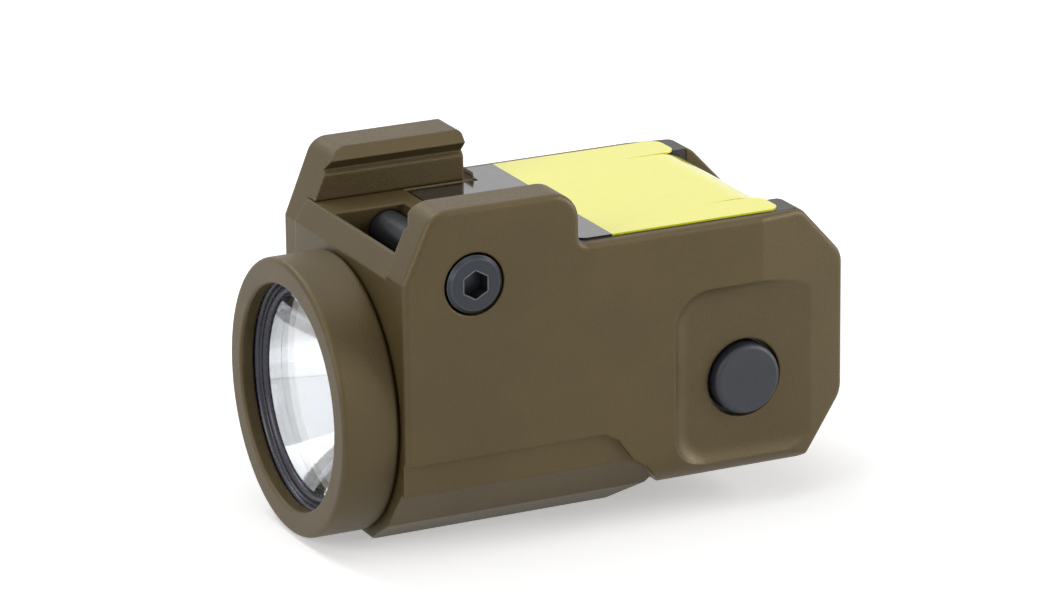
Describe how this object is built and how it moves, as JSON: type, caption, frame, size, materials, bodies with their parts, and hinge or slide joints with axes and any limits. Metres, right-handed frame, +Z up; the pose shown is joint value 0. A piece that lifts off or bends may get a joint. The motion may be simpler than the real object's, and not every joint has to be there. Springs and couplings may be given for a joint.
{
  "type": "rail-mounted weapon light",
  "caption": "Compact rail-mounted pistol light: round bezel with a glass lens, blocky alloy housing, side buttons, and a screw-driven clamp jaw for an accessory rail.",
  "frame": {"origin": "on the flat underside of the chin, midway between the bezel's front and the tail, on the mid plane", "axes": "+X the beam direction, +Y the side of the clamp screw's head, +Z up towards the rail"},
  "size_m": [0.055, 0.0304, 0.0359],
  "materials": {
    "anodised": "fine matte blasted bronze-brown anodised aluminium",
    "black_rubber": "smooth black silicone rubber",
    "clear_glass": "clear coated glass",
    "clear_optic": "clear moulded optic",
    "white_plastic": "white moulded plastic",
    "board": "green solder mask",
    "emitter": "yellow phosphor under a clear dome",
    "bare_aluminium": "bare turned aluminium",
    "lead_cover": "insulated lead",
    "black_plastic": "black moulded plastic",
    "printed_film": "glossy blank film, black at the front and yellow behind",
    "steel": "bright steel",
    "black_steel": "black oxide steel",
    "button_rubber": "dark blue-grey moulded rubber",
    "switch_plastic": "black switch case",
    "foam": "thin closed-cell foam",
    "cell_pouch": "aluminised pouch",
    "nickel": "nickel plate",
    "component_body": "moulded component bodies",
    "brass_contact": "gold-flashed brass"
  },
  "bodies": {
    "root": {"housing": "anodised", "bezel_ring": "anodised", "bezel_seal": "black_rubber", "front_lens": "clear_glass", "optic": "clear_optic", "optic_holder": "white_plastic", "led_board": "board", "led_emitter": "emitter", "heat_sink": "bare_aluminium", "led_leads": "lead_cover", "head_o_ring": "black_rubber", "top_cover": "black_plastic", "cover_film": "printed_film", "cover_gasket": "black_rubber", "cover_screws": "steel", "guide_pins": "steel", "left_button_seal": "black_rubber", "left_switch_board": "board", "left_switch": "switch_plastic", "right_button_seal": "black_rubber", "right_switch_board": "board", "right_switch": "switch_plastic", "battery_pad": "foam", "battery_cell": "cell_pouch", "battery_tabs": "nickel", "main_board": "board", "board_screws": "steel", "driver_parts": "component_body", "charge_port": "black_plastic", "charge_contacts": "brass_contact", "charge_magnets": "nickel"},
    "jaw": {"clamp_jaw": "anodised"},
    "screw": {"clamp_screw": "black_steel"},
    "left_press": {"left_button": "button_rubber"},
    "right_press": {"right_button": "button_rubber"}
  },
  "joints": [
    {"name": "screw_turn", "type": "hinge", "parent": "root", "child": "screw", "pos_m": [0.0139, 0, 0.0282], "axis": [0, 1, 0], "range_deg": [0, 1080]},
    {"name": "jaw_slide", "type": "slide", "parent": "root", "child": "jaw", "axis": [0, -1, 0], "range_m": [0, 0.0021]},
    {"name": "left_push", "type": "slide", "parent": "root", "child": "left_press", "axis": [0, -1, 0], "range_m": [0, 0.0005], "stiffness_N_per_m": 1500},
    {"name": "right_push", "type": "slide", "parent": "root", "child": "right_press", "axis": [0, 1, 0], "range_m": [0, 0.0005], "stiffness_N_per_m": 1500}
  ],
  "couplings": [
    {"joint": "screw_turn", "follows": "jaw_slide", "rad_per_m": 8975.9}
  ]
}
